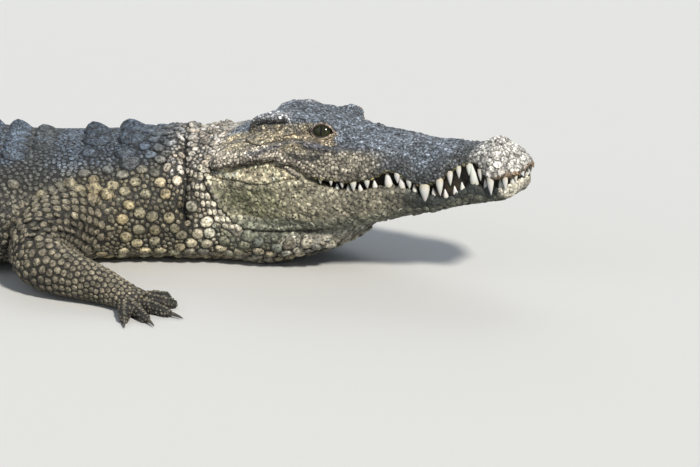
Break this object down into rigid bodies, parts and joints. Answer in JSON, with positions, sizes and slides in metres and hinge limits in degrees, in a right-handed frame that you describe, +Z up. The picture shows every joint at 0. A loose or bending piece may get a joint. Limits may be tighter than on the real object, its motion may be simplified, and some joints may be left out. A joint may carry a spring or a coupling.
{
  "type": "nile crocodile model",
  "caption": "Adult Nile crocodile lying on its belly, head turned to its right, jaws just open to show the teeth, tail in a slow curve.",
  "frame": {"origin": "on the floor, under the middle of the whole animal's bounding box", "axes": "+X towards the snout end, along the straight trunk; +Y the animal's left; +Z up"},
  "size_m": [3.3242, 1.081, 0.2611],
  "materials": {
    "skin": "horny scales, dry and matt, dark grey-blue above and straw-coloured below",
    "eye": "wet, clear cornea over an olive iris",
    "claw": "dark worn horn",
    "tooth": "ivory enamel, satin"
  },
  "bodies": {
    "root": {"eye_left": "eye", "eye_right": "eye", "front_left_claw_1": "claw", "front_left_claw_2": "claw", "front_left_claw_3": "claw", "front_left_foot": "skin", "front_left_forearm": "skin", "front_left_upper_arm": "skin", "front_right_claw_1": "claw", "front_right_claw_2": "claw", "front_right_claw_3": "claw", "front_right_foot": "skin", "front_right_forearm": "skin", "front_right_upper_arm": "skin", "head": "skin", "hind_left_claw_1": "claw", "hind_left_claw_2": "claw", "hind_left_claw_3": "claw", "hind_left_foot": "skin", "hind_left_shank": "skin", "hind_left_thigh": "skin", "hind_right_claw_1": "claw", "hind_right_claw_2": "claw", "hind_right_claw_3": "claw", "hind_right_foot": "skin", "hind_right_shank": "skin", "hind_right_thigh": "skin", "lower_jaw": "skin", "neck": "skin", "tail_base": "skin", "tail_middle": "skin", "tail_tip": "skin", "throat": "skin", "trunk": "skin"}
  },
  "joints": []
}
